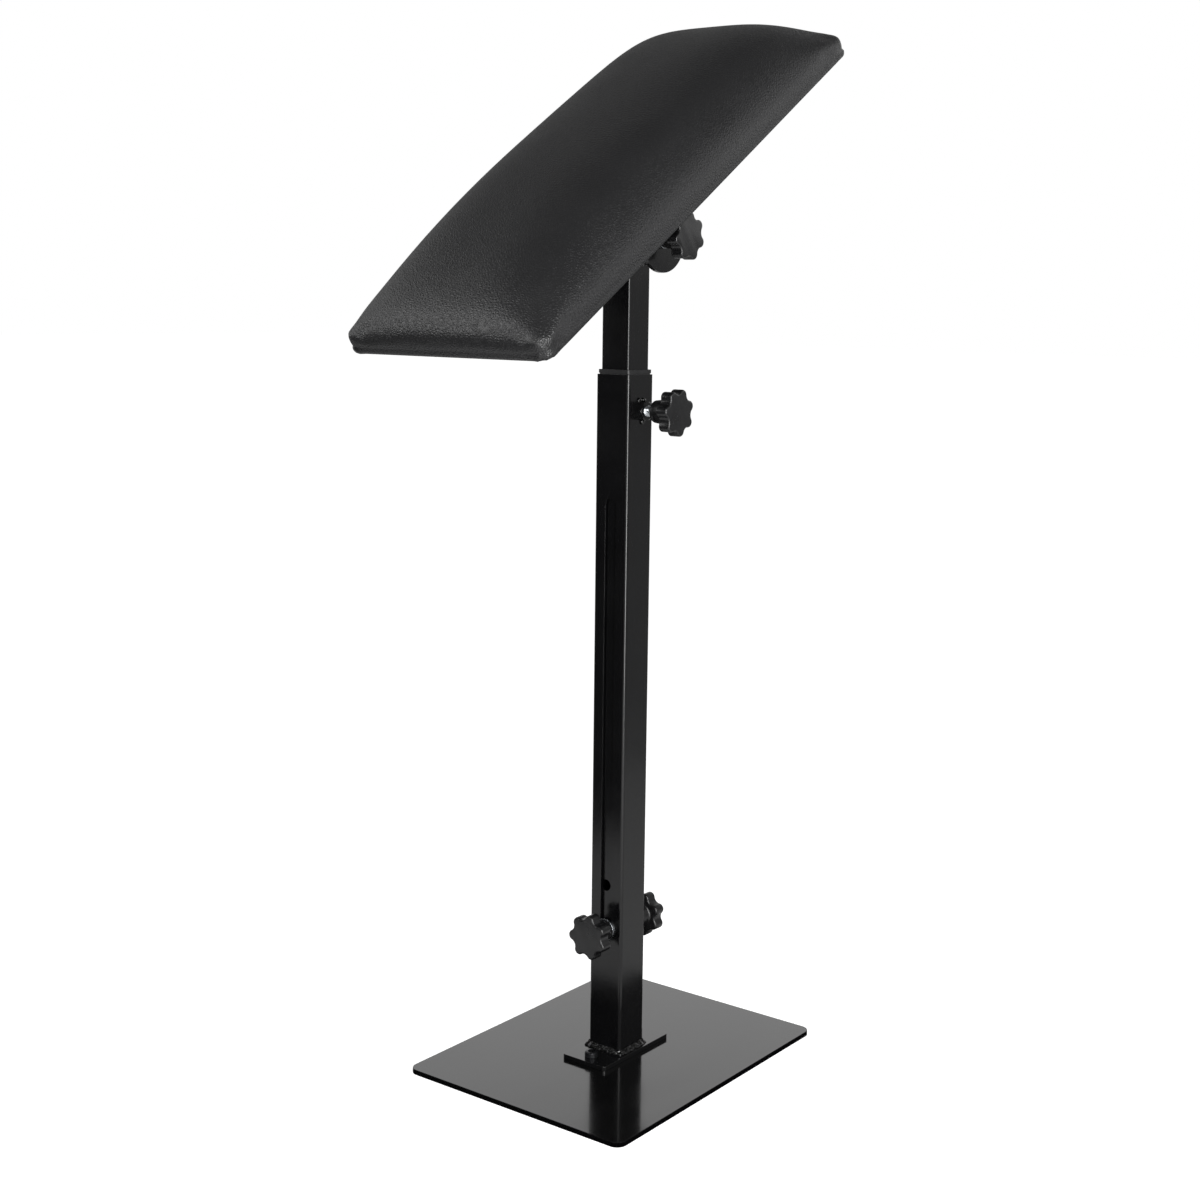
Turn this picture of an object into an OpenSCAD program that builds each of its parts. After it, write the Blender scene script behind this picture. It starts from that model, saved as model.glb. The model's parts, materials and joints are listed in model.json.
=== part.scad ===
// Adjustable arm rest on a telescopic column.
// Lengths are in millimetres and +Z points up.
// The origin is the middle of the base plate's underside.
// The pad's length lies in the Y-Z plane, its low end towards -Y, and it tilts about an axis along X.

/* [Base] */
// Width of the base plate along X
base_w = 200; // [150:1:320]
// Length of the base plate along Y
base_l = 250; // [170:1:380]
// Thickness of the base plate
base_t = 4; // [3:0.5:10]
// Corner radius of the base plate
base_corner_r = 8; // [4:1:30]
// Width of the foot flange along X
flange_w = 41; // [38:1:80]
// Length of the foot flange along Y
flange_l = 81; // [74:1:120]
// Thickness of the foot flange
flange_t = 3.5; // [3:0.5:8]
// Distance between the two flange screws
flange_screw_pitch = 56; // [54:1:62]
// How far the pair of flange screws sits towards the front of the column
flange_screw_shift = 2.5; // [0:0.5:2.5]

/* [Column] */
// Outside width of the fixed square tube
outer_size = 30; // [29:0.5:34]
// Wall of the fixed tube
outer_wall = 1.5; // [1:0.1:1.8]
// Outside corner radius of the fixed tube
outer_corner_r = 2.5; // [2:0.1:4]
// Length of the fixed tube
outer_len = 515; // [480:5:700]
// Height of the cross rod above the fixed tube's foot when the column is down
rod_height = 96; // [60:1:110]
// Travel of the sliding column
height_travel = 320; // [150:5:330]
// Width of the two long slots
slot_w = 10; // [8.6:0.1:12]
// Length of slot left past the rod at each end of its travel
slot_over = 4; // [1:0.5:8]
// Outside width of the sliding square tube
inner_size = 25; // [24:0.1:25.4]
// Wall of the sliding tube
inner_wall = 1.5; // [1:0.1:2]
// Outside corner radius of the sliding tube
inner_corner_r = 2; // [1.6:0.1:3]
// Length of sliding tube below the cross rod
inner_tail = 25; // [15:1:40]
// Diameter of the spare hole above the cross rod
spare_hole_d = 9; // [6:0.5:12]
// Height of the spare hole above the cross rod
spare_hole_up = 34; // [20:1:60]
// How far the spare hole sits to the left of the slot's middle
spare_hole_side = 2; // [0:0.5:4]

/* [Collar] */
// Width of the collar's rim
collar_size = 28.6; // [28.2:0.1:30]
// Thickness of the collar's rim
collar_rim_t = 2.6; // [1.5:0.1:5]
// Height of the step between the rim and the fixed tube
collar_step_t = 0.8; // [0.4:0.1:2]
// Depth of the collar's sleeve in the fixed tube
collar_depth = 18; // [8:1:20]

/* [Knobs] */
// Diameter over the lobes of a star knob
knob_d = 34.5; // [32:0.5:44]
// Number of lobes
knob_lobes = 7; // [6:1:8]
// Thickness of the lobed head
knob_head_t = 10; // [7:0.5:14]
// Length of the hub behind the head
knob_hub_len = 12; // [9:0.5:18]
// Diameter of the hub at its end
knob_hub_d = 16.5; // [15:0.5:20]
// Diameter of the screws that the knobs turn
screw_d = 8; // [6:0.5:8.2]
// Distance of the clamp screw below the fixed tube's top
clamp_drop = 26; // [24.5:0.1:60]
// Width of the weld nut across its flats
nut_af = 13; // [12:0.5:16]
// Thickness of the weld nut
nut_t = 6; // [4:0.5:8]
// Length of bare thread between the weld nut and the clamp knob
clamp_bare_thread = 7.4; // [1:0.1:12]

/* [Tilting head] */
// Height of the tilt axis above the fixed tube's top when the column is down
axis_rise = 98.5; // [88:0.5:200]
// Tilt of the pad from level
rest_tilt = 33.2; // [0:0.2:55]
// Diameter of the cross tube on the sliding column
head_d = 38; // [34:1:44]
// Wall of the cross tube
head_wall = 3; // [2:0.5:5]
// Length of the cross tube
head_len = 56; // [46:1:70]
// Thickness of the plates that close the cross tube
end_plate_t = 5; // [3:0.5:8]
// Width of the flat bar that the tilt bracket is bent from
bracket_w = 51; // [46:1:60]
// Thickness of the tilt bracket
bracket_t = 4; // [3:0.5:6]
// Bend radius inside the tilt bracket
bracket_bend_r = 3; // [1:0.5:5]
// Thickness of the friction washers
friction_t = 1.4; // [1:0.1:3]
// Thickness of the steel washers under the knobs
washer_t = 1.2; // [0.8:0.1:2.5]
// Width of the mounting plate along X
plate_w = 100; // [84:1:120]
// Length of the mounting plate along the pad
plate_l = 140; // [90:1:260]
// Thickness of the mounting plate
plate_t = 3; // [2:0.5:5]
// Spacing of the plate screws along X
plate_screw_x = 76; // [72:1:80]
// Spacing of the plate screws along the pad
plate_screw_y = 116; // [72:1:120]

/* [Pad] */
// Width of the pad
pad_w = 178; // [165:1:230]
// Length of the pad
pad_l = 417; // [330:1:520]
// Distance from the tilt axis to the pad's underside
pad_offset = 33; // [32:0.5:45]
// Distance of the pad's middle from the tilt axis, up the slope
pad_shift = 2; // [0:0.5:40]
// Height of the pad in its middle
pad_h = 57; // [40:1:75]
// Height of the pad's side below the rolled edge
pad_side_h = 14; // [13.6:0.1:20]
// Corner radius of the pad seen from above
pad_corner_r = 14; // [12:1:30]
// Thickness of the cover
cover_t = 1.2; // [0.8:0.1:2]
// Thickness of the pad board
board_t = 12; // [9:0.5:12]
// Width of cover folded under the board
lip_w = 18; // [8:1:22]
// Thickness of the dust cloth
cloth_t = 0.6; // [0.4:0.1:1]

/* [Hidden] */

black_steel = [0.07, 0.07, 0.075];
zinc = [0.72, 0.73, 0.74];
black_plastic = [0.11, 0.11, 0.115];
leather = [0.16, 0.16, 0.165];
plywood = [0.72, 0.58, 0.40];
foam_colour = [0.90, 0.86, 0.66];
cloth_colour = [0.05, 0.05, 0.05];
brass = [0.78, 0.64, 0.32];

over = 1;
seat_gap = 0.05;
turn_gap = 0.05;
slide_gap = 0.15;
touch_gap = 0.3;

flange_corner_r = 3;
flange_screw_d = 6;
flange_head_d = 10;
flange_head_h = 4.2;
flange_socket_af = 5;
flange_socket_depth = 2.4;
flange_edge_share = 0.08;
screw_hole_gap = 0.3;
foot_weld_leg = 3.5;
foot_weld_top = 0.4;

column_z = base_t + flange_t;
column_top = column_z + outer_len;
bore_size = outer_size - 2 * outer_wall;
bore_corner_r = max(outer_corner_r - outer_wall, seat_gap);
rod_z = column_z + rod_height;
slot_low_z = rod_z - slot_over;
slot_high_z = rod_z + height_travel + slot_over;
clamp_z = column_top - clamp_drop;
clamp_hole_gap = 0.5;
axis_z = column_top + axis_rise;

tack_r = 2.3;
tack_stand = 1.4;
tack_ring_r = nut_af / 2 + tack_stand;
tack_angles = [72, 110, -80];

inner_z = rod_z - inner_tail;
inner_bore = inner_size - 2 * inner_wall;
inner_bore_r = max(inner_corner_r - inner_wall, seat_gap);
glide_rim_t = 3;
glide_plug_max = 14;
glide_plug_len = min(glide_plug_max, inner_tail - screw_d);
glide_core_share = 0.6;
head_weld_leg = 2;

knob_r = knob_d / 2;
lobe_r_share = 0.233;
valley_r_share = 0.278;
lobe_r = knob_r * lobe_r_share;
valley_r = knob_r * valley_r_share;
knob_edge_r = 1.6;
knob_hub_flare = 1.2;
knob_hub_fillet = 2;
knob_hub_edge = 1;
rod_edge_share = 0.1;
insert_wall = 2;
insert_d = screw_d + 2 * insert_wall;
insert_len = knob_hub_len;
bore_share = 0.3;
grip_share = 0.1;
knob_bore_len = knob_hub_len + bore_share * knob_head_t;
rod_grip = knob_hub_len + grip_share * knob_head_t;
washer_d = 17;
point_len_share = 0.3;
point_r_share = 0.34;
front_knob_phase = 30;
rear_knob_phase = 23;
clamp_knob_phase = 20;
tilt_knob_phase = 36;
lower_hub_y = outer_size / 2 + seat_gap + washer_t + seat_gap;
clamp_hub_x = outer_size / 2 + nut_t + clamp_bare_thread;

ear_r = bracket_w / 2;
ear_in_x = head_len / 2 + seat_gap + friction_t + seat_gap;
ear_out_x = ear_in_x + bracket_t;
tilt_hub_x = ear_out_x + seat_gap + washer_t + seat_gap;
bolt_head_d = 20;
bolt_head_h = 4.5;
bolt_neck_share = 0.8;
bolt_neck_h = bracket_t * bolt_neck_share;
bolt_neck_extra = 0.4;
bolt_neck_w = screw_d + bolt_neck_extra;

cloth_top_v = pad_offset + cover_t;
plate_top_v = cloth_top_v - cloth_t;
web_top_v = plate_top_v - plate_t;
web_low_v = web_top_v - bracket_t;
board_top_v = cloth_top_v + board_t;
bracket_weld_leg = 3;
plate_corner_r = 8;
plate_screw_d = 6;
plate_head_d = 11;
plate_head_h = 3.3;
plate_head_edge = 1;
t_nut_flange_d = 18;
t_nut_flange_t = 1.5;
t_nut_barrel_d = 8;
t_nut_barrel_share = 0.75;
t_nut_barrel_len = board_t * t_nut_barrel_share;

pad_tuck = 1.6;
pad_foot_r = 1.6;
board_corner_r = pad_corner_r - pad_tuck - cover_t;
board_inset = pad_tuck + pad_foot_r + cover_t + seat_gap;
opening_inset = pad_tuck + lip_w;
cloth_rim = 6;
side_power = 3.8;
side_bend = 1;
low_end_power = 2.4;
low_end_bend = 0.58;
high_end_power = 6;
high_end_bend = 0.95;
crown_inset_shares = [0.015, 0.045, 0.1, 0.18, 0.3, 0.46, 0.66, 0.88];
plan_corner_share = 0.15;
tuck_share = 0.35;
tuck_height_share = 0.5;
corner_steps = 5;
long_steps = 8;
short_steps = 3;

// A square with rounded corners, centred
module round_rect(w, l, r) {
    square([w - 2 * r, l], center = true);
    square([w, l - 2 * r], center = true);
    for (x = [-1, 1], y = [-1, 1])
        translate([x * (w / 2 - r), y * (l / 2 - r)])
            circle(r = r, $fn = 48);
}

module round_tube(size, r, bore, bore_r, len) {
    linear_extrude(len)
        difference() {
            round_rect(size, size, r);
            round_rect(bore, bore, bore_r);
        }
}

// A rod along Z from one height to another
module rod(d, low, high) {
    translate([0, 0, low])
        cylinder(d = d, h = high - low, $fn = 64);
}

module hexagon(af) {
    circle(d = af / cos(30), $fn = 6);
}

// Turns a piece drawn along +Z so that it points along +X, and its +X to +Y
module along_x() {
    rotate([0, 90, 0])
        rotate([0, 0, 90])
            children();
}

// Frame of the pad: the tilt axis is X, Y runs up the pad and Z stands on it
module on_tilt() {
    translate([0, 0, axis_z])
        rotate([rest_tilt, 0, 0])
            children();
}

// Base

module base_plate() {
    color(black_steel)
        difference() {
            linear_extrude(base_t)
                round_rect(base_w, base_l, base_corner_r);
            for (side = [-1, 1])
                translate([0, side * flange_screw_pitch / 2 - flange_screw_shift, 0])
                    rod(flange_screw_d + 2 * turn_gap, -over, base_t + over);
        }
}

module foot_flange() {
    color(black_steel)
        translate([0, 0, base_t])
            difference() {
                linear_extrude(flange_t)
                    round_rect(flange_w, flange_l, flange_corner_r);
                for (side = [-1, 1])
                    translate([0, side * flange_screw_pitch / 2 - flange_screw_shift, 0])
                        rod(flange_screw_d + 2 * screw_hole_gap, -over, flange_t + over);
            }
}

// Fillet bead round the foot of the fixed tube
module foot_weld() {
    wide = outer_size + 2 * foot_weld_leg;
    narrow = outer_size + 2 * foot_weld_top;
    color(black_steel)
        translate([0, 0, column_z])
            difference() {
                hull() {
                    linear_extrude(foot_weld_top)
                        round_rect(wide, wide, outer_corner_r + foot_weld_leg);
                    linear_extrude(foot_weld_leg)
                        round_rect(narrow, narrow, outer_corner_r + foot_weld_top);
                }
                translate([0, 0, -over])
                    linear_extrude(foot_weld_leg + 2 * over)
                        round_rect(outer_size, outer_size, outer_corner_r);
            }
}

module flange_screw() {
    edge = flange_edge_share * flange_head_d;
    difference() {
        rotate_extrude($fn = 64)
            polygon([
                [0, -flange_t - base_t + turn_gap],
                [flange_screw_d / 2, -flange_t - base_t + turn_gap],
                [flange_screw_d / 2, 0],
                [flange_head_d / 2, 0],
                [flange_head_d / 2, flange_head_h - edge],
                [flange_head_d / 2 - edge, flange_head_h],
                [0, flange_head_h]
            ]);
        translate([0, 0, flange_head_h - flange_socket_depth])
            linear_extrude(flange_socket_depth + over)
                hexagon(flange_socket_af);
    }
}

module flange_screws() {
    color(black_steel)
        for (side = [-1, 1])
            translate([0, side * flange_screw_pitch / 2 - flange_screw_shift, column_z])
                flange_screw();
}

// Fixed tube with a slot in its front and rear walls and a hole for the clamp screw

module outer_column() {
    color(black_steel)
        difference() {
            translate([0, 0, column_z])
                round_tube(outer_size, outer_corner_r, bore_size, bore_corner_r, outer_len);
            translate([0, 0, slot_low_z])
                rotate([90, 0, 0])
                    rod(slot_w, -outer_size, outer_size);
            translate([0, 0, slot_high_z])
                rotate([90, 0, 0])
                    rod(slot_w, -outer_size, outer_size);
            translate([-slot_w / 2, -outer_size, slot_low_z])
                cube([slot_w, 2 * outer_size, slot_high_z - slot_low_z]);
            translate([0, 0, clamp_z])
                rotate([0, 90, 0])
                    rod(screw_d + 2 * clamp_hole_gap, 0, outer_size);
        }
}

// Six-sided nut along +X on the side of the fixed tube
module nut_blank(gap = 0) {
    translate([outer_size / 2, 0, clamp_z])
        along_x()
            linear_extrude(nut_t)
                hexagon(nut_af + 2 * gap);
}

module clamp_nut() {
    corner_r = nut_af / 2 / cos(30);
    bevel = corner_r - nut_af / 2;
    color(black_steel)
        difference() {
            intersection() {
                nut_blank();
                translate([outer_size / 2, 0, clamp_z])
                    along_x()
                        rotate_extrude($fn = 64)
                            polygon([
                                [0, -over],
                                [corner_r + over, -over],
                                [corner_r + over, nut_t - bevel - over / 2],
                                [nut_af / 2, nut_t],
                                [0, nut_t]
                            ]);
            }
            translate([outer_size / 2, 0, clamp_z])
                along_x()
                    rod(screw_d + 2 * turn_gap, -over, nut_t + over);
        }
}

module nut_weld_tacks() {
    color(black_steel)
        difference() {
            for (angle = tack_angles)
                translate([
                    outer_size / 2,
                    tack_ring_r * cos(angle),
                    clamp_z + tack_ring_r * sin(angle)
                ])
                    sphere(r = tack_r, $fn = 32);
            nut_blank(seat_gap);
            translate([-outer_size / 2, -outer_size, clamp_z - outer_size])
                cube([outer_size, 2 * outer_size, 2 * outer_size]);
        }
}

// Plastic collar between the two tubes
module column_collar() {
    sleeve = bore_size - 2 * seat_gap;
    hole = inner_size + 2 * slide_gap;
    hole_r = inner_corner_r + slide_gap;
    step = (sleeve + collar_size) / 2;
    color(black_plastic)
        translate([0, 0, column_top]) {
            translate([0, 0, -collar_depth])
                round_tube(sleeve, bore_corner_r, hole, hole_r, collar_depth);
            round_tube(step, outer_corner_r, hole, hole_r, collar_step_t);
            translate([0, 0, collar_step_t])
                round_tube(collar_size, outer_corner_r, hole, hole_r, collar_rim_t);
        }
}

// Sliding tube, coped at its top to seat the cross tube

module inner_column() {
    color(black_steel)
        difference() {
            translate([0, 0, inner_z])
                round_tube(inner_size, inner_corner_r, inner_bore, inner_bore_r, axis_z - inner_z);
            translate([0, 0, axis_z])
                rotate([0, 90, 0])
                    rod(head_d + 2 * seat_gap, -inner_size, inner_size);
            translate([0, 0, rod_z])
                rotate([90, 0, 0])
                    rod(screw_d + 2 * turn_gap, -inner_size, inner_size);
            translate([-spare_hole_side, 0, rod_z + spare_hole_up])
                rotate([90, 0, 0])
                    rod(spare_hole_d, -inner_size, inner_size);
        }
}

// Plastic plug that guides the sliding tube's lower end
module inner_glide() {
    plug = inner_bore - 2 * seat_gap;
    rim = bore_size - 2 * slide_gap;
    rim_r = bore_corner_r + seat_gap;
    core = plug * glide_core_share;
    color(black_plastic)
        translate([0, 0, inner_z])
            difference() {
                union() {
                    translate([0, 0, -glide_rim_t])
                        linear_extrude(glide_rim_t)
                            round_rect(rim, rim, rim_r);
                    linear_extrude(glide_plug_len)
                        round_rect(plug, plug, inner_bore_r);
                }
                rod(core, -glide_rim_t / 2, glide_plug_len + over);
            }
}

module head_tube() {
    color(black_steel)
        translate([0, 0, axis_z])
            rotate([0, 90, 0])
                difference() {
                    rod(head_d, -head_len / 2, head_len / 2);
                    rod(head_d - 2 * head_wall, -head_len, head_len);
                }
}

module head_end_plates() {
    color(black_steel)
        translate([0, 0, axis_z])
            for (side = [-1, 1])
                rotate([0, side * 90, 0])
                    difference() {
                        rod(head_d - 2 * head_wall - 2 * seat_gap, head_len / 2 - end_plate_t, head_len / 2);
                        rod(screw_d + 2 * turn_gap, 0, head_len);
                    }
}

// Bead between the sliding tube and the cross tube
module head_weld() {
    wide = inner_size + 2 * head_weld_leg;
    color(black_steel)
        difference() {
            intersection() {
                translate([0, 0, axis_z - head_d])
                    linear_extrude(head_d)
                        round_rect(wide, wide, inner_corner_r + head_weld_leg);
                translate([0, 0, axis_z])
                    rotate([0, 90, 0])
                        rod(head_d + 2 * head_weld_leg, -wide, wide);
            }
            translate([0, 0, axis_z])
                rotate([0, 90, 0])
                    rod(head_d + seat_gap, -wide, wide);
            translate([0, 0, axis_z - head_d - over])
                linear_extrude(head_d + over)
                    round_rect(inner_size + seat_gap, inner_size + seat_gap, inner_corner_r);
        }
}

// Cross rod of the lower clamp, in the sliding tube and through both slots
module lower_rod() {
    edge = rod_edge_share * screw_d;
    reach = lower_hub_y + rod_grip;
    color(zinc)
        translate([0, 0, rod_z])
            rotate([90, 0, 0])
                rotate_extrude($fn = 64)
                    polygon([
                        [0, -reach],
                        [screw_d / 2 - edge, -reach],
                        [screw_d / 2, edge - reach],
                        [screw_d / 2, reach - edge],
                        [screw_d / 2 - edge, reach],
                        [0, reach]
                    ]);
}

module washer(outside, t) {
    difference() {
        rod(outside, 0, t);
        rod(screw_d + 4 * turn_gap, -over, t + over);
    }
}

module lower_washers() {
    color(zinc)
        translate([0, 0, rod_z])
            for (side = [-1, 1])
                rotate([side * 90, 0, 0])
                    translate([0, 0, outer_size / 2 + seat_gap])
                        washer(washer_d, washer_t);
}

// Star knobs

// Points of an arc, from one angle to another
function arc(centre, r, from, to, steps) = [
    for (i = [0 : steps])
        let (angle = from + (to - from) * i / steps)
            centre + r * [cos(angle), sin(angle)]
];

// Outline of lobes and valleys whose arcs run into each other without a kink
function star_outline() =
    let (
        pitch = 180 / knob_lobes,
        lobe_at = knob_r - lobe_r,
        reach = lobe_r + valley_r,
        half = lobe_at * cos(pitch),
        valley_at = half + sqrt(reach * reach - lobe_at * lobe_at + half * half),
        lobe_turn = atan2(valley_at * sin(pitch), valley_at * cos(pitch) - lobe_at)
    )
    [
        for (i = [0 : knob_lobes - 1])
            let (
                a = 2 * pitch * i,
                b = a + pitch,
                lobe = lobe_at * [cos(a), sin(a)],
                valley = valley_at * [cos(b), sin(b)]
            )
            each concat(
                arc(lobe, lobe_r, a - lobe_turn, a + lobe_turn, 8),
                arc(valley, valley_r, a + lobe_turn + 180, a - lobe_turn + 2 * pitch + 180, 6)
            )
    ];

// Rim section that rounds the lobes' edges, front and back
module knob_rim_section() {
    back = knob_hub_len;
    front = knob_hub_len + knob_head_t;
    polygon(concat(
        [[0, back]],
        arc([knob_r - knob_edge_r, back + knob_edge_r], knob_edge_r, -90, 0, 4),
        arc([knob_r - knob_edge_r, front - knob_edge_r], knob_edge_r, 0, 90, 4),
        [[0, front]]
    ));
}

// Hub section, flared into the back of the head
module knob_hub_section() {
    end_r = knob_hub_d / 2;
    root_r = end_r + knob_hub_flare;
    polygon(concat(
        [[0, 0], [end_r - knob_hub_edge, 0], [end_r, knob_hub_edge]],
        [[root_r, knob_hub_len - knob_hub_fillet]],
        arc([root_r + knob_hub_fillet, knob_hub_len - knob_hub_fillet], knob_hub_fillet, 180, 90, 4),
        [[root_r, knob_hub_len + over], [0, knob_hub_len + over]]
    ));
}

// Star knob along +Z: the hub's end is at 0
module star_knob(pocket_d, pocket_len) {
    difference() {
        union() {
            rotate_extrude($fn = 64)
                knob_hub_section();
            intersection() {
                translate([0, 0, knob_hub_len])
                    linear_extrude(knob_head_t)
                        polygon(star_outline());
                rotate_extrude($fn = 96)
                    knob_rim_section();
            }
        }
        rod(pocket_d, -over, pocket_len);
        rod(screw_d + 4 * turn_gap, -over, knob_bore_len);
    }
}

// Threaded insert moulded into a hub
module knob_insert() {
    difference() {
        rod(insert_d, 0, insert_len);
        rod(screw_d + 2 * turn_gap, -over, insert_len + over);
    }
}

module at_front_knob() {
    translate([0, -lower_hub_y, rod_z])
        rotate([90, 0, 0])
            rotate([0, 0, front_knob_phase])
                children();
}

module at_rear_knob() {
    translate([0, lower_hub_y, rod_z])
        rotate([-90, 0, 0])
            rotate([0, 0, -rear_knob_phase])
                children();
}

module at_clamp_knob() {
    translate([clamp_hub_x, 0, clamp_z])
        along_x()
            rotate([0, 0, clamp_knob_phase])
                children();
}

module at_tilt_knob() {
    translate([tilt_hub_x, 0, axis_z])
        along_x()
            rotate([0, 0, tilt_knob_phase])
                children();
}

module insert_knob() {
    color(black_plastic)
        star_knob(insert_d + 2 * seat_gap, insert_len + seat_gap);
}

module lower_knob_front() { at_front_knob() insert_knob(); }
module lower_insert_front() { color(brass) at_front_knob() knob_insert(); }
module lower_knob_rear() { at_rear_knob() insert_knob(); }
module lower_insert_rear() { color(brass) at_rear_knob() knob_insert(); }
module tilt_knob() { at_tilt_knob() insert_knob(); }
module tilt_insert() { color(brass) at_tilt_knob() knob_insert(); }

module clamp_knob() {
    color(black_plastic)
        at_clamp_knob()
            star_knob(screw_d + 2 * seat_gap, rod_grip + seat_gap);
}

// Clamp screw, moulded into its knob, with a turned-down point
module clamp_screw() {
    tip = inner_size / 2 + touch_gap - clamp_hub_x;
    point_len = point_len_share * screw_d;
    point_r = point_r_share * screw_d;
    color(zinc)
        at_clamp_knob()
            rotate_extrude($fn = 64)
                polygon([
                    [0, tip],
                    [point_r, tip],
                    [screw_d / 2, tip + point_len],
                    [screw_d / 2, rod_grip],
                    [0, rod_grip]
                ]);
}

// Tilting head, drawn in the pad's frame

// Ear outline seen along the tilt axis: round below, square above
module ear_outline() {
    circle(r = ear_r, $fn = 128);
    translate([-web_top_v, -ear_r])
        square([web_top_v, 2 * ear_r]);
}

module tilt_bracket() {
    outside = 2 * ear_out_x;
    inside = 2 * ear_in_x;
    depth = web_top_v + ear_r + over;
    inner_depth = depth - bracket_t;
    outer_r = bracket_bend_r + bracket_t;
    neck_hole = bolt_neck_w + 2 * turn_gap;
    color(black_steel)
        on_tilt()
            difference() {
                intersection() {
                    rotate([90, 0, 0])
                        linear_extrude(2 * bracket_w, center = true)
                            difference() {
                                translate([0, web_top_v - depth])
                                    round_rect(outside, 2 * depth, outer_r);
                                translate([0, web_low_v - inner_depth])
                                    round_rect(inside, 2 * inner_depth, bracket_bend_r);
                            }
                    rotate([0, 90, 0])
                        linear_extrude(outside + 2 * over, center = true)
                            ear_outline();
                }
                rotate([0, 90, 0])
                    rod(screw_d + 2 * turn_gap, 0, ear_out_x + over);
                translate([-ear_out_x - over, -neck_hole / 2, -neck_hole / 2])
                    cube([bracket_t + 2 * over, neck_hole, neck_hole]);
            }
}

module bracket_welds() {
    flat = 2 * (ear_out_x - bracket_bend_r - bracket_t);
    color(black_steel)
        on_tilt()
            for (side = [-1, 1])
                translate([0, side * ear_r, web_top_v])
                    rotate([90, 0, 90])
                        linear_extrude(flat, center = true)
                            polygon([
                                [0, 0],
                                [side * bracket_weld_leg, 0],
                                [0, -bracket_weld_leg]
                            ]);
}

module at_plate_screws() {
    for (x = [-1, 1], y = [-1, 1])
        translate([x * plate_screw_x / 2, y * plate_screw_y / 2, 0])
            children();
}

module mount_plate() {
    color(black_steel)
        on_tilt()
            difference() {
                translate([0, 0, web_top_v])
                    linear_extrude(plate_t)
                        round_rect(plate_w, plate_l, plate_corner_r);
                at_plate_screws()
                    rod(plate_screw_d + 2 * screw_hole_gap, 0, plate_top_v + over);
            }
}

// Pan-head screws, up through the plate into the T-nuts
module plate_screws() {
    reach = board_top_v - t_nut_flange_t;
    color(zinc)
        on_tilt()
            at_plate_screws()
                rotate_extrude($fn = 48)
                    polygon([
                        [0, web_top_v - plate_head_h],
                        [plate_head_d / 2 - plate_head_edge, web_top_v - plate_head_h],
                        [plate_head_d / 2, web_top_v - plate_head_h + plate_head_edge],
                        [plate_head_d / 2, web_top_v],
                        [plate_screw_d / 2, web_top_v],
                        [plate_screw_d / 2, reach],
                        [0, reach]
                    ]);
}

module t_nuts() {
    barrel_low = board_top_v - t_nut_barrel_len;
    color(zinc)
        on_tilt()
            at_plate_screws()
                difference() {
                    union() {
                        rod(t_nut_barrel_d, barrel_low, board_top_v);
                        rod(t_nut_flange_d, board_top_v - t_nut_flange_t, board_top_v);
                    }
                    rod(plate_screw_d + 2 * turn_gap, barrel_low - over, board_top_v + over);
                }
}

// Coach bolt along the tilt axis: its square neck sits in the left ear
module tilt_bolt() {
    edge = rod_edge_share * screw_d;
    reach = tilt_hub_x + rod_grip;
    dome_r = (pow(bolt_head_d / 2, 2) + pow(bolt_head_h, 2)) / (2 * bolt_head_h);
    dome_turn = asin(bolt_head_d / 2 / dome_r);
    color(zinc)
        translate([0, 0, axis_z]) {
            rotate([0, 90, 0])
                rotate_extrude($fn = 64)
                    polygon(concat(
                        [[0, -ear_out_x - bolt_head_h]],
                        [
                            for (i = [1 : 6])
                                let (turn = dome_turn * i / 6)
                                    [dome_r * sin(turn), dome_r * (1 - cos(turn)) - ear_out_x - bolt_head_h]
                        ],
                        [
                            [screw_d / 2, -ear_out_x],
                            [screw_d / 2, reach - edge],
                            [screw_d / 2 - edge, reach],
                            [0, reach]
                        ]
                    ));
            rotate([rest_tilt, 0, 0])
                translate([-ear_out_x - over, -bolt_neck_w / 2, -bolt_neck_w / 2])
                    cube([bolt_neck_h + over, bolt_neck_w, bolt_neck_w]);
        }
}

module friction_washers() {
    color(black_plastic)
        translate([0, 0, axis_z])
            for (side = [-1, 1])
                rotate([0, side * 90, 0])
                    translate([0, 0, head_len / 2 + seat_gap])
                        washer(head_d, friction_t);
}

module tilt_washer() {
    color(zinc)
        translate([ear_out_x + seat_gap, 0, axis_z])
            rotate([0, 90, 0])
                washer(washer_d, washer_t);
}

// Pad

module pad_board() {
    color(plywood)
        on_tilt()
            difference() {
                translate([0, pad_shift, cloth_top_v])
                    linear_extrude(board_t)
                        round_rect(pad_w - 2 * board_inset, pad_l - 2 * board_inset, board_corner_r);
                at_plate_screws() {
                    rod(t_nut_barrel_d + 2 * turn_gap, cloth_top_v - over, board_top_v + over);
                    rod(t_nut_flange_d + 2 * turn_gap, board_top_v - t_nut_flange_t - turn_gap, board_top_v + over);
                }
            }
}

// Evenly spaced places between two values, leaving out both ends
function between(from, to, steps) = [for (i = [1 : steps - 1]) from + (to - from) * i / steps];

// Plan outline of the pad, drawn in from its widest line by an inset
function plan(inset) =
    let (
        w = pad_w / 2 - inset,
        l = pad_l / 2 - inset,
        r = max(pad_corner_r - inset, pad_corner_r * plan_corner_share),
        x = w - r,
        y = l - r
    )
    concat(
        arc([x, y], r, 0, 90, corner_steps),
        [for (p = between(x, -x, short_steps)) [p, l]],
        arc([-x, y], r, 90, 180, corner_steps),
        [for (p = between(y, -y, long_steps)) [-w, p]],
        arc([-x, -y], r, 180, 270, corner_steps),
        [for (p = between(-x, x, short_steps)) [p, -l]],
        arc([x, -y], r, 270, 360, corner_steps),
        [for (p = between(-y, y, long_steps)) [w, p]]
    );

function bulge(share, power, bend) = pow(max(1 - pow(min(abs(share), 1), power), 0), bend);

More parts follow.
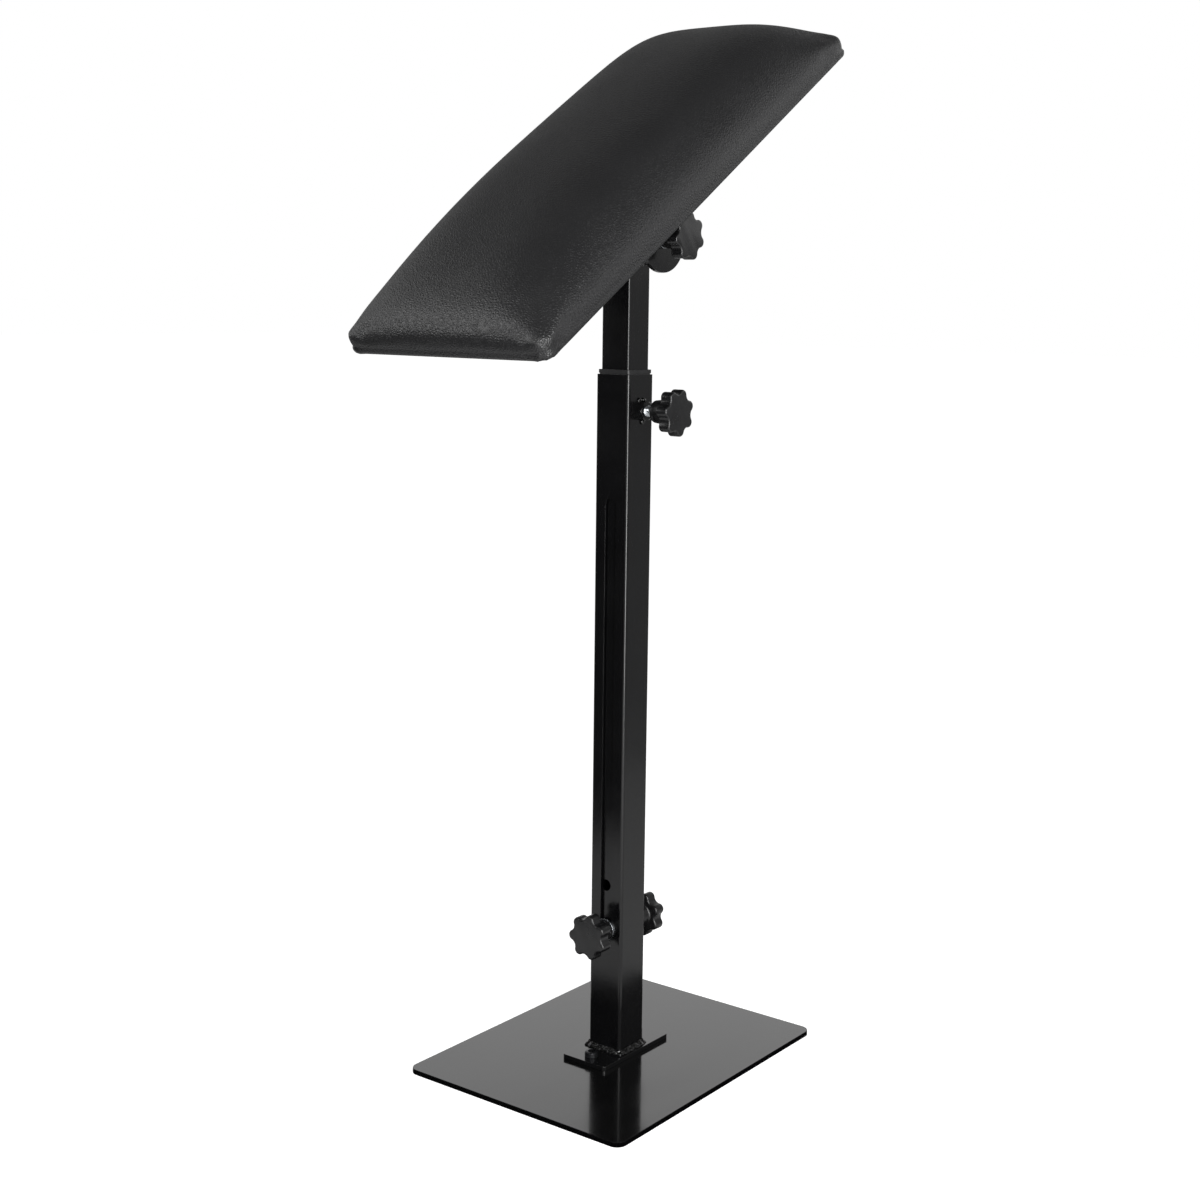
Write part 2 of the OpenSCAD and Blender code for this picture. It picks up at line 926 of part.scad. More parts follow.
// Height of the padded top over the pad's underside: it slopes more gently to the low end
function crown(p) =
    let (
        power = p[1] < 0 ? low_end_power : high_end_power,
        bend = p[1] < 0 ? low_end_bend : high_end_bend
    )
    pad_side_h + (pad_h - pad_side_h)
        * bulge(p[0] / (pad_w / 2), side_power, side_bend)
        * bulge(p[1] / (pad_l / 2), power, bend);

function ring(inset, v) = [for (p = plan(inset)) [p[0], p[1], v]];
function crown_ring(inset, drop) = [for (p = plan(inset)) [p[0], p[1], crown(p) - drop]];

// Faces that close a ring: a fan at each end and between them strips across the pad's width
function lid() =
    let (
        count = 4 * corner_steps + 2 * long_steps + 2 * short_steps,
        high = corner_steps + short_steps + 1,
        low = 3 * corner_steps + short_steps + long_steps - 1,
        twins = 2 * corner_steps + short_steps + count
    )
    concat(
        [for (i = [corner_steps : high - 1]) [corner_steps - 1, i, i + 1]],
        [
            for (i = [high : low - 1])
                let (twin = (twins - i) % count, next_twin = (twins - i - 1) % count)
                    each [[i, i + 1, next_twin], [i, next_twin, twin]]
        ],
        [for (i = [low + 1 : low + 1 + short_steps]) [low, i, i + 1]]
    );

// Closed crowned form: the pad's outside, or the same drawn in by a thickness
module pad_form(skin) {
    rings = concat(
        [
            ring(pad_tuck + pad_foot_r + skin, skin),
            ring(pad_tuck + skin, skin + pad_foot_r),
            ring(pad_tuck * tuck_share + skin, pad_side_h * tuck_height_share),
            ring(skin, pad_side_h - skin / 2)
        ],
        [for (share = crown_inset_shares) crown_ring(skin + share * pad_w / 2, skin)]
    );
    count = len(rings[0]);
    last = len(rings) - 1;
    points = [for (r = rings) each r];
    walls = [
        for (k = [0 : last - 1], i = [0 : count - 1])
            let (
                j = (i + 1) % count,
                a = k * count + i,
                b = k * count + j,
                c = a + count,
                d = b + count
            )
            each [[a, c, b], [b, c, d]]
    ];
    cap = [for (f = lid()) [last * count + f[0], last * count + f[2], last * count + f[1]]];
    polyhedron(points = points, faces = concat(walls, cap, lid()), convexity = 4);
}

module pad_foam() {
    color(foam_colour)
        on_tilt()
            intersection() {
                translate([0, pad_shift, pad_offset])
                    pad_form(cover_t + seat_gap);
                translate([-pad_w, -pad_l, board_top_v + seat_gap])
                    cube([2 * pad_w, 2 * pad_l, pad_h]);
            }
}

// Cover over foam and board, folded under along all four sides
module pad_cover() {
    color(leather)
        on_tilt()
            difference() {
                translate([0, pad_shift, pad_offset])
                    pad_form(0);
                translate([0, pad_shift, pad_offset])
                    pad_form(cover_t);
                translate([0, pad_shift, pad_offset - over])
                    linear_extrude(2 * cover_t + over)
                        round_rect(pad_w - 2 * opening_inset, pad_l - 2 * opening_inset, board_corner_r);
            }
}

// Dished cloth: its middle lies on the board and its rim on the folded cover
module pad_dust_cloth() {
    middle_w = pad_w - 2 * opening_inset - 2 * seat_gap;
    middle_l = pad_l - 2 * opening_inset - 2 * seat_gap;
    color(cloth_colour)
        on_tilt()
            difference() {
                union() {
                    translate([0, pad_shift, pad_offset - cloth_t])
                        linear_extrude(cloth_t)
                            round_rect(middle_w + 2 * cloth_rim, middle_l + 2 * cloth_rim, board_corner_r);
                    translate([0, pad_shift, pad_offset - cloth_t])
                        linear_extrude(cover_t + cloth_t)
                            round_rect(middle_w, middle_l, board_corner_r);
                }
                translate([0, pad_shift, pad_offset - cloth_t - over])
                    linear_extrude(cover_t + over)
                        round_rect(middle_w - 2 * cloth_t, middle_l - 2 * cloth_t, board_corner_r);
                at_plate_screws()
                    rod(plate_screw_d + 2 * screw_hole_gap, 0, board_top_v);
            }
}

base_plate();
foot_flange();
foot_weld();
flange_screws();
outer_column();
clamp_nut();
nut_weld_tacks();
column_collar();
inner_column();
inner_glide();
head_tube();
head_end_plates();
head_weld();
lower_rod();
lower_washers();
lower_knob_front();
lower_insert_front();
lower_knob_rear();
lower_insert_rear();
clamp_knob();
clamp_screw();
tilt_bracket();
bracket_welds();
mount_plate();
plate_screws();
t_nuts();
tilt_bolt();
friction_washers();
tilt_washer();
tilt_knob();
tilt_insert();
pad_board();
pad_foam();
pad_cover();
pad_dust_cloth();
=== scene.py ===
import json
import math

import bpy
from mathutils import Matrix, Vector, noise

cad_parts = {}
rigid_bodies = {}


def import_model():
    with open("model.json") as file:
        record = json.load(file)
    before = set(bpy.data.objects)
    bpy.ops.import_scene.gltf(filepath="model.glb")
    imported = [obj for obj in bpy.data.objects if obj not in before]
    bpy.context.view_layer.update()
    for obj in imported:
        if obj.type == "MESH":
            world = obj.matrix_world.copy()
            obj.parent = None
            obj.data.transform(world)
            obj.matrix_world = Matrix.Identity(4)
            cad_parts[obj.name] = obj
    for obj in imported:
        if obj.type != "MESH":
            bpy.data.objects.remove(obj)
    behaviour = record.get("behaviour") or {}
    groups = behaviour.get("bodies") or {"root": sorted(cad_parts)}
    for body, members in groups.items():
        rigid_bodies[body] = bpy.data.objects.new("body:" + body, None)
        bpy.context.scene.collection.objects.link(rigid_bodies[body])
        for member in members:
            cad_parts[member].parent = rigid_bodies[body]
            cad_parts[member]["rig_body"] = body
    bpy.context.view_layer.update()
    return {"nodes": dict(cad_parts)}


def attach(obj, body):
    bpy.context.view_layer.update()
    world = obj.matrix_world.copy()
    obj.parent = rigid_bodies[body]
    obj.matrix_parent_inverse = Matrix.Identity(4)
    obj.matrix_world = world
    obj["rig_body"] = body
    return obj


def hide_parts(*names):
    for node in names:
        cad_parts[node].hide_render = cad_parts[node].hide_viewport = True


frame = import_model()

MM = 0.001

# Sizes of the part's source that the new pieces follow, in metres
AXIS_Z = 621.0 * MM
ROD_Z = 103.5 * MM
CLAMP_Z = 496.5 * MM
COLUMN_Z = 7.5 * MM
OUTER = 30.0 * MM
REST_TILT = math.radians(33.2)
PAD_W = 178.0 * MM
PAD_L = 417.0 * MM
PAD_SHIFT = 2.0 * MM
PAD_OFFSET = 33.0 * MM
COVER_T = 1.2 * MM
FOLD_W = 19.6 * MM
PAD_PLACE = Matrix.Translation((0, 0, AXIS_Z)) @ Matrix.Rotation(REST_TILT, 4, "X")


# Camera, at the photograph's viewing angle

CAMERA_AT = (791.31 * MM, -1031.03 * MM, 574.72 * MM)
CAMERA_AZIMUTH = math.radians(35.896)
CAMERA_DOWN = math.radians(8.628)
CAMERA_ROLL = math.radians(1.023)
FOCAL_PIXELS = 1769.98
MIDDLE_PIXEL = (671.50, 571.04)
IMAGE_PIXELS = 1200
SENSOR_MM = 36


def make_camera():
    """The camera that the photograph's straight edges give, with their vanishing points."""
    back = Vector((
        math.sin(CAMERA_AZIMUTH) * math.cos(CAMERA_DOWN),
        -math.cos(CAMERA_AZIMUTH) * math.cos(CAMERA_DOWN),
        math.sin(CAMERA_DOWN),
    ))
    level = Vector((math.cos(CAMERA_AZIMUTH), math.sin(CAMERA_AZIMUTH), 0))
    upright = back.cross(level)
    right = level * math.cos(CAMERA_ROLL) + upright * math.sin(CAMERA_ROLL)
    up = upright * math.cos(CAMERA_ROLL) - level * math.sin(CAMERA_ROLL)
    lens = bpy.data.cameras.new("camera")
    lens.sensor_width = SENSOR_MM
    lens.lens = FOCAL_PIXELS / IMAGE_PIXELS * SENSOR_MM
    lens.shift_x = 0.5 - MIDDLE_PIXEL[0] / IMAGE_PIXELS
    lens.shift_y = MIDDLE_PIXEL[1] / IMAGE_PIXELS - 0.5
    lens.clip_start = 0.01
    lens.clip_end = 50
    camera = bpy.data.objects.new("camera", lens)
    turn = Matrix((right, up, back)).transposed().to_4x4()
    camera.matrix_world = Matrix.Translation(CAMERA_AT) @ turn
    bpy.context.scene.collection.objects.link(camera)
    bpy.context.scene.camera = camera


make_camera()
bpy.context.scene.view_settings.view_transform = "Standard"


# Materials

def colour(code):
    """The linear colour of an sRGB hex value."""
    parts = [int(code[i:i + 2], 16) / 255 for i in (1, 3, 5)]
    return tuple(c / 12.92 if c <= 0.04045 else ((c + 0.055) / 1.055) ** 2.4 for c in parts) + (1,)


def add(tree, kind, inputs=None, **settings):
    """Adds a node with its settings, and its sockets' values or links."""
    made = tree.nodes.new(kind)
    for name, value in settings.items():
        setattr(made, name, value)
    for socket, value in (inputs or {}).items():
        if isinstance(value, bpy.types.NodeSocket):
            tree.links.new(value, made.inputs[socket])
        else:
            made.inputs[socket].default_value = value
    return made


def finish_of(name, **shader):
    """A new material with its shader and the place that its patterns read."""
    material = bpy.data.materials.new(name)
    material.use_nodes = True
    tree = material.node_tree
    tree.nodes.clear()
    surface = add(tree, "ShaderNodeBsdfPrincipled", shader)
    add(tree, "ShaderNodeOutputMaterial", {"Surface": surface.outputs["BSDF"]})
    place = add(tree, "ShaderNodeTexCoord").outputs["Object"]
    return material, tree, surface, place


def per_mm(size):
    """Pattern scale that gives one cell for each size in millimetres."""
    return 1 / (size * MM)


def stretch(tree, place, factors):
    """The place with the pattern drawn finer or coarser along an axis."""
    return add(tree, "ShaderNodeMapping", {"Vector": place, "Scale": factors}).outputs["Vector"]


def clouds(tree, place, size, detail=2.0):
    """Soft noise with spots of a size in millimetres."""
    settings = {"Vector": place, "Scale": per_mm(size), "Detail": detail}
    return add(tree, "ShaderNodeTexNoise", settings).outputs["Fac"]


def spread(tree, value, low, high, start=0.3, end=0.7):
    """A value spread over a new range."""
    settings = {"Value": value, "From Min": start, "From Max": end, "To Min": low, "To Max": high}
    return add(tree, "ShaderNodeMapRange", settings).outputs["Result"]


def tint(tree, value, dark, light):
    """A colour between two hex values."""
    mixed = add(tree, "ShaderNodeMix", {"Factor": value}, data_type="RGBA")
    mixed.inputs[6].default_value = colour(dark)
    mixed.inputs[7].default_value = colour(light)
    return mixed.outputs[2]


def relief(tree, surface, height, depth, strength=1.0, under=None):
    """Bump of a depth in millimetres."""
    settings = {"Height": height, "Distance": depth * MM, "Strength": strength}
    if under is not None:
        settings["Normal"] = under
    bump = add(tree, "ShaderNodeBump", settings).outputs["Normal"]
    tree.links.new(bump, surface.inputs["Normal"])
    return bump


def gloss_lacquer():
    """Sprayed and baked black lacquer: a deep mirror with a faint orange peel."""
    material, tree, surface, place = finish_of(
        "baked_black_lacquer", **{"IOR": 1.5, "Coat Weight": 0.4, "Coat Roughness": 0.06})
    wipe = clouds(tree, stretch(tree, place, (1, 0.3, 1)), 45, 3)
    tree.links.new(tint(tree, wipe, "#050506", "#080809"), surface.inputs["Base Color"])
    tree.links.new(spread(tree, wipe, 0.10, 0.17), surface.inputs["Roughness"])
    relief(tree, surface, clouds(tree, place, 3.5, 1), 0.012)
    return material


def powder_coat():
    """Black powder coat on steel tube: smooth and glossy, with a fine orange peel."""
    material, tree, surface, place = finish_of("black_powder_coat", **{"IOR": 1.5})
    drift = clouds(tree, place, 30, 3)
    tree.links.new(tint(tree, drift, "#060607", "#0a0a0b"), surface.inputs["Base Color"])
    tree.links.new(spread(tree, drift, 0.13, 0.21), surface.inputs["Roughness"])
    relief(tree, surface, clouds(tree, place, 1.8, 1), 0.012)
    return material


def weld_coat():
    """Powder coat over a rough weld bead: wet-looking, with bright specks on its ripples."""
    material, tree, surface, place = finish_of("coated_weld_bead", **{"IOR": 1.5})
    drift = clouds(tree, place, 3, 3)
    tree.links.new(tint(tree, drift, "#050505", "#0b0b0b"), surface.inputs["Base Color"])
    tree.links.new(spread(tree, drift, 0.05, 0.11), surface.inputs["Roughness"])
    relief(tree, surface, clouds(tree, place, 1.1, 2), 0.05)
    return material


def zinc_plate():
    """Bright zinc plating on steel, with faint turning marks and a bluish cast."""
    material, tree, surface, place = finish_of("bright_zinc_plate", Metallic=1.0)
    drift = clouds(tree, place, 1.5, 3)
    tree.links.new(tint(tree, drift, "#aeb3b8", "#d3d6d9"), surface.inputs["Base Color"])
    tree.links.new(spread(tree, drift, 0.18, 0.34), surface.inputs["Roughness"])
    relief(tree, surface, clouds(tree, place, 0.4, 1), 0.01)
    return material


def black_oxide():
    """Black oxide on steel screws: dark, slightly oily metal."""
    material, tree, surface, place = finish_of("black_oxide_steel", Metallic=0.6)
    drift = clouds(tree, place, 2, 2)
    tree.links.new(tint(tree, drift, "#151517", "#232427"), surface.inputs["Base Color"])
    tree.links.new(spread(tree, drift, 0.22, 0.36), surface.inputs["Roughness"])
    relief(tree, surface, clouds(tree, place, 0.5, 1), 0.01)
    return material


def moulded_nylon():
    """Glass-filled nylon, injection moulded: satin black with a fine spark-eroded grain."""
    material, tree, surface, place = finish_of("moulded_nylon", **{"IOR": 1.53})
    drift = clouds(tree, place, 9, 2)
    tree.links.new(tint(tree, drift, "#0d0d0e", "#121213"), surface.inputs["Base Color"])
    tree.links.new(spread(tree, drift, 0.26, 0.35), surface.inputs["Roughness"])
    relief(tree, surface, clouds(tree, place, 0.55, 1), 0.02)
    return material


def moulded_polythene():
    """Moulded polyethylene: waxy black with a soft sheen."""
    material, tree, surface, place = finish_of("moulded_polyethylene", **{"IOR": 1.51})
    drift = clouds(tree, place, 7, 2)
    tree.links.new(tint(tree, drift, "#101011", "#19191a"), surface.inputs["Base Color"])
    tree.links.new(spread(tree, drift, 0.34, 0.48), surface.inputs["Roughness"])
    relief(tree, surface, clouds(tree, place, 0.8, 1), 0.02)
    return material


def leatherette():
    """Black PU leatherette: satin skin with a pressed pebble grain.

    The real grain is nearer 1 mm. It is drawn at 1.9 mm so that it shows in the render.
    """
    material, tree, surface, place = finish_of("pressed_pu_leatherette", **{"IOR": 1.5})
    bent = add(tree, "ShaderNodeVectorMath", operation="MULTIPLY_ADD")
    warp = add(tree, "ShaderNodeTexNoise", {"Vector": place, "Scale": per_mm(3), "Detail": 1.0})
    tree.links.new(warp.outputs["Color"], bent.inputs[0])
    bent.inputs[1].default_value = (0.9 * MM,) * 3
    tree.links.new(place, bent.inputs[2])
    cells = add(
        tree, "ShaderNodeTexVoronoi", {"Vector": bent.outputs[0], "Scale": per_mm(1.9)},
        feature="DISTANCE_TO_EDGE").outputs["Distance"]
    pebbles = spread(tree, cells, 0, 1, 0.0, 0.38)
    drift = clouds(tree, place, 40, 3)
    tree.links.new(tint(tree, drift, "#161617", "#1b1b1c"), surface.inputs["Base Color"])
    tree.links.new(spread(tree, drift, 0.36, 0.42), surface.inputs["Roughness"])
    pores = relief(tree, surface, clouds(tree, place, 0.9, 2), 0.05)
    relief(tree, surface, pebbles, 0.20, 1.0, pores)
    return material


def plywood():
    """Birch plywood: pale veneers with grain along the pad."""
    material, tree, surface, place = finish_of("birch_plywood", **{"Roughness": 0.65})
    grain = clouds(tree, stretch(tree, place, (1, 0.06, 0.06)), 1.2, 4)
    tree.links.new(tint(tree, grain, "#a88a5f", "#d3b88c"), surface.inputs["Base Color"])
    relief(tree, surface, grain, 0.05)
    return material


def dust_cloth():
    """Spun-bonded polypropylene: dull black with a grid of bond points 1.5 mm apart."""
    material, tree, surface, place = finish_of("spunbond_dust_cloth", **{"Roughness": 0.92})
    grid = {"Vector": place, "Scale": per_mm(1.5), "Randomness": 0.15}
    points = add(tree, "ShaderNodeTexVoronoi", grid).outputs["Distance"]
    dots = spread(tree, points, 0, 1, 0.1, 0.45)
    drift = clouds(tree, place, 5, 3)
    tree.links.new(tint(tree, drift, "#0b0b0b", "#161616"), surface.inputs["Base Color"])
    relief(tree, surface, dots, 0.12)
    return material


def turned_brass():
    """Turned brass: warm metal with fine tool marks."""
    material, tree, surface, place = finish_of("turned_brass", Metallic=1.0)
    drift = clouds(tree, place, 0.5, 2)
    tree.links.new(tint(tree, drift, "#b08d45", "#cfae66"), surface.inputs["Base Color"])
    tree.links.new(spread(tree, drift, 0.2, 0.35), surface.inputs["Roughness"])
    return material


LACQUER = gloss_lacquer()
COAT = powder_coat()
WELD = weld_coat()
ZINC = zinc_plate()
OXIDE = black_oxide()
NYLON = moulded_nylon()
POLYTHENE = moulded_polythene()
LEATHER = leatherette()
PLY = plywood()
CLOTH = dust_cloth()
BRASS = turned_brass()


# Ways of working

def take(*objects):
    """Selects these objects alone, the first of them active."""
    bpy.ops.object.select_all(action="DESELECT")
    for o in objects:
        o.select_set(True)
    bpy.context.view_layer.objects.active = objects[0]


def edit(piece):
    """Opens a piece with all of it selected."""
    take(piece)
    bpy.ops.object.mode_set(mode="EDIT")
    bpy.ops.mesh.select_mode(type="VERT")
    bpy.ops.mesh.select_all(action="SELECT")


def close_edit():
    """Leaves edit mode."""
    bpy.ops.object.mode_set(mode="OBJECT")


def pick_faces(piece, wanted):
    """Selects the faces that a test of their middle and normal wants, and opens the piece."""
    take(piece)
    bpy.ops.object.mode_set(mode="EDIT")
    bpy.ops.mesh.select_mode(type="FACE")
    bpy.ops.mesh.select_all(action="DESELECT")
    bpy.ops.object.mode_set(mode="OBJECT")
    for face in piece.data.polygons:
        face.select = bool(wanted(face.center, face.normal))
    bpy.ops.object.mode_set(mode="EDIT")


def shape(piece, kind, **settings):
    """Adds a modifier and applies it."""
    take(piece)
    made = piece.modifiers.new("step", kind)
    for name, value in settings.items():
        setattr(made, name, value)
    bpy.ops.object.modifier_apply(modifier=made.name)


def smooth(piece, degrees=35):
    """Shades a piece smooth, but for edges sharper than an angle."""
    take(piece)
    bpy.ops.object.shade_smooth_by_angle(angle=math.radians(degrees))


def with_normals(piece):
    """Pairs of each point and the way out from the surface there, before any point moves."""
    return list(zip(piece.data.vertices, [v.normal.copy() for v in piece.data.vertices]))


def settle(piece, place):
    """Moves the mesh to its place and leaves the object at the origin."""
    piece.data.transform(place)
    piece.matrix_world = Matrix.Identity(4)
    piece.data.update()


def dress(piece, material, body):
    """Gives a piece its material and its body."""
    piece.data.materials.clear()
    piece.data.materials.append(material)
    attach(piece, body)
    return piece


def body_of(node):
    """The body that a CAD node rides on."""
    return frame["nodes"][node]["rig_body"]


def copy_of(node, name):
    """A copy of a CAD node as one clean closed mesh."""
    piece = bpy.data.objects.new(name, frame["nodes"][node].data.copy())
    piece.data.name = name
    bpy.context.scene.collection.objects.link(piece)
    edit(piece)
    bpy.ops.mesh.remove_doubles(threshold=0.002 * MM)
    bpy.ops.mesh.dissolve_limited(angle_limit=math.radians(0.5))
    close_edit()
    return piece


def eased(node, name, material, edge, steps=3, degrees=35):
    """A copy of a CAD node with its edges rounded by a radius in millimetres."""
    piece = copy_of(node, name)
    shape(
        piece, "BEVEL", width=edge * MM, segments=steps, limit_method="ANGLE",
        angle_limit=math.radians(degrees))
    smooth(piece, degrees)
    shape(piece, "WEIGHTED_NORMAL", keep_sharp=True)
    dress(piece, material, body_of(node))
    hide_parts(node)
    return piece


BEAD_VOXEL = 0.45 * MM
RIPPLE = 0.4  # size and depth of a bead's ripples, as shares of its lumps'


def bead(node, name, lump, depth, seed):
    """A copy of a weld as a lumpy run of metal: lumps and depth in millimetres."""
    piece = copy_of(node, name)
    shape(piece, "REMESH", mode="VOXEL", voxel_size=BEAD_VOXEL)
    shape(piece, "SMOOTH", factor=0.5, iterations=3)
    start = Vector((7.3, 3.1, 5.7)) * seed
    for v, outward in with_normals(piece):
        lumps = noise.noise(v.co / (lump * MM) + start)
        ripples = noise.noise(v.co / (RIPPLE * lump * MM) - start)
        v.co += outward * (lumps + RIPPLE * ripples) * depth * MM
    smooth(piece, 180)
    dress(piece, WELD, body_of(node))
    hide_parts(node)
    return piece


def turned(name, rings, sides=64):
    """A solid turned along +Z: a disc that is extruded and scaled through rings.

    Each ring is a radius and a height in millimetres.
    """
    first_r, first_z = rings[0]
    bpy.ops.object.select_all(action="DESELECT")
    bpy.ops.mesh.primitive_circle_add(
        vertices=sides, radius=first_r * MM, fill_type="NGON", location=(0, 0, first_z * MM))
    piece = bpy.context.object
    piece.name = piece.data.name = name
    bpy.ops.object.transform_apply(location=True, rotation=True, scale=True)
    edit(piece)
    for (r, z), (next_r, next_z) in zip(rings, rings[1:]):
        rise = (0, 0, (next_z - z) * MM)
        bpy.ops.mesh.extrude_region_move(TRANSFORM_OT_translate={"value": rise})
        bpy.ops.transform.resize(
            value=(next_r / r, next_r / r, 1), center_override=(0, 0, next_z * MM))
    bpy.ops.mesh.select_all(action="SELECT")
    bpy.ops.mesh.normals_make_consistent(inside=False)
    close_edit()
    return piece


def combine(piece, other, how):
    """Joins another solid to a piece, or cuts it out."""
    shape(piece, "BOOLEAN", operation=how, object=other, solver="EXACT")
    bpy.data.objects.remove(other)


def copies(piece, name, places):
    """One piece made of copies of another, each settled at its own place."""
    made = []
    for place in places:
        one = bpy.data.objects.new(name, piece.data.copy())
        one.data.transform(place)
        bpy.context.scene.collection.objects.link(one)
        made.append(one)
    bpy.data.objects.remove(piece)
    take(*made)
    bpy.ops.object.join()
    whole = bpy.context.object
    whole.name = whole.data.name = name
    return whole


def prism(name, sides, radius, low, high):
    """A straight prism along Z, in millimetres."""
    return turned(name, [(radius, low), (radius, high)], sides)


def turn_z(degrees):
    """A turn about Z."""
    return Matrix.Rotation(math.radians(degrees), 4, "Z")


# Rigid pieces that keep the part's form, with their edges eased

base_plate = eased("base_plate", "base_plate_lacquered", LACQUER, 0.9, 4)
eased("foot_flange", "foot_flange_lacquered", LACQUER, 0.9)
eased("outer_column", "outer_column_coated", COAT, 0.55)
eased("clamp_nut", "clamp_nut_coated", COAT, 0.4)
eased("column_collar", "column_collar_moulded", POLYTHENE, 0.35)
eased("inner_column", "inner_column_coated", COAT, 0.45)
eased("head_tube", "head_tube_coated", COAT, 0.4)
eased("lower_washers", "lower_washers_plated", ZINC, 0.2, 2)
eased("tilt_bracket", "tilt_bracket_coated", COAT, 0.5)
eased("mount_plate", "mount_plate_coated", COAT, 0.5)
eased("friction_washers", "friction_washers_moulded", POLYTHENE, 0.2, 2)
eased("tilt_washer", "tilt_washer_plated", ZINC, 0.2, 2)
eased("tilt_bolt", "tilt_bolt_plated", ZINC, 0.25, 2)

bead("foot_weld", "foot_weld_bead", 2.8, 1.0, 1)
bead("nut_weld_tacks", "nut_weld_blobs", 2.2, 0.5, 2)
bead("head_weld", "head_weld_bead", 3.0, 0.6, 3)
bead("bracket_welds", "bracket_weld_beads", 3.5, 0.8, 4)

for node, material, slot in [
    ("inner_glide", POLYTHENE, "black_plastic"),
    ("head_end_plates", COAT, "black_steel"),
    ("lower_rod", ZINC, "zinc"),
    ("lower_insert_front", BRASS, "brass"),
    ("lower_insert_rear", BRASS, "brass"),
    ("tilt_insert", BRASS, "brass"),
    ("t_nuts", ZINC, "zinc"),
    ("pad_board", PLY, "plywood"),
]:
    piece = frame["nodes"][node]
    piece.data.materials.clear()
    piece.data.materials.append(material)


# Cap screws of the foot flange

CAP_R = 5.0
CAP_H = 4.2
CAP_KNURL = 0.14
CAP_EDGE = 0.8
CAP_SOCKET_AF = 5.0
CAP_SOCKET_DEPTH = 2.4
CAP_SHANK_R = 3.0
CAP_SHANK = 7.4
CAP_SIDES = 96
GROOVE_EVERY = 3
CAP_FRONT_Y = -30.5
CAP_REAR_Y = 25.5


def cap_screw():
    """A socket-head screw with a knurled head and its seat at 0."""
    screw = turned("cap_screw", [
        (CAP_SHANK_R - 0.5, -CAP_SHANK), (CAP_SHANK_R, 0.5 - CAP_SHANK), (CAP_SHANK_R, 0),
        (CAP_R - 0.2, 0.001), (CAP_R, 0.2), (CAP_R, CAP_H - CAP_EDGE),
        (CAP_R - 0.15, CAP_H - 0.5 * CAP_EDGE), (CAP_R - 0.5 * CAP_EDGE, CAP_H - 0.15),
        (CAP_R - CAP_EDGE, CAP_H),
    ], CAP_SIDES)
    for v in screw.data.vertices:
        r = math.hypot(v.co.x, v.co.y)
        corner = round(math.atan2(v.co.y, v.co.x) / (2 * math.pi) * CAP_SIDES)
        if r > (CAP_R - 0.01) * MM and corner % GROOVE_EVERY == 0:
            v.co.x *= 1 - CAP_KNURL * MM / r
            v.co.y *= 1 - CAP_KNURL * MM / r
    socket_r = CAP_SOCKET_AF / 2 / math.cos(math.pi / 6)
    socket = prism("socket", 6, socket_r, CAP_H - CAP_SOCKET_DEPTH, CAP_H + 1)
    combine(screw, socket, "DIFFERENCE")
    smooth(screw, 28)
    return screw


screws = copies(cap_screw(), "flange_cap_screws", [
    Matrix.Translation((0, y * MM, COLUMN_Z)) for y in (CAP_FRONT_Y, CAP_REAR_Y)])
dress(screws, OXIDE, body_of("flange_screws"))
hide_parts("flange_screws")


# Pan-head screws that hold the mount plate to the board

PAN_R = 5.5
PAN_H = 3.3
PAN_SHANK_R = 2.95
PAN_SHANK = 14.1
CROSS_TOP = (6.0, 1.3)
CROSS_FLOOR = (3.2, 0.8)
CROSS_DEPTH = 1.8
PLATE_UNDER = 30.6
PLATE_SCREWS = [(38, 58), (-38, 58), (38, -58), (-38, -58)]


def pan_screw():
    """A pan-head screw with a cross recess, its head up and its seat at 0."""
    screw = turned("pan_screw", [
        (PAN_SHANK_R - 0.5, -PAN_SHANK), (PAN_SHANK_R, 0.6 - PAN_SHANK), (PAN_SHANK_R, 0),
        (PAN_R - 0.2, 0.001), (PAN_R, 0.25), (PAN_R, 1.1), (PAN_R - 0.35, 2.0),
        (PAN_R - 1.2, 2.75), (PAN_R - 2.6, 3.18), (PAN_R - 4.2, PAN_H),
    ], 48)
    for turn in (0, 90):
        bpy.ops.object.select_all(action="DESELECT")
        bpy.ops.mesh.primitive_cube_add(size=1, location=(0, 0, PAN_H * MM))
        arm = bpy.context.object
        for v in arm.data.vertices:
            length, width = CROSS_FLOOR if v.co.z < 0 else CROSS_TOP
            v.co.x *= length * MM
            v.co.y *= width * MM
            v.co.z *= 2 * CROSS_DEPTH * MM
        arm.data.transform(turn_z(turn))
        combine(screw, arm, "DIFFERENCE")
    smooth(screw, 30)
    return screw


HEAD_DOWN = Matrix.Rotation(math.pi, 4, "X")
CROSS_TURN = 17
screws = copies(pan_screw(), "plate_screws_pan_head", [
    PAD_PLACE @ Matrix.Translation((x * MM, y * MM, PLATE_UNDER * MM))
    @ HEAD_DOWN @ turn_z(CROSS_TURN * k)
    for k, (x, y) in enumerate(PLATE_SCREWS)])
dress(screws, ZINC, body_of("plate_screws"))
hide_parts("plate_screws")


# Threaded screw of the side clamp

THREAD_R = 3.98
THREAD_CORE_R = 3.35
THREAD_PITCH = 1.25
THREAD_STEPS = 8
THREAD_SIDES = 32
THREAD_LEAD_IN = 0.3
FLANK = 1.25
CLAMP_TIP_X = 12.8
CLAMP_END_X = 41.4


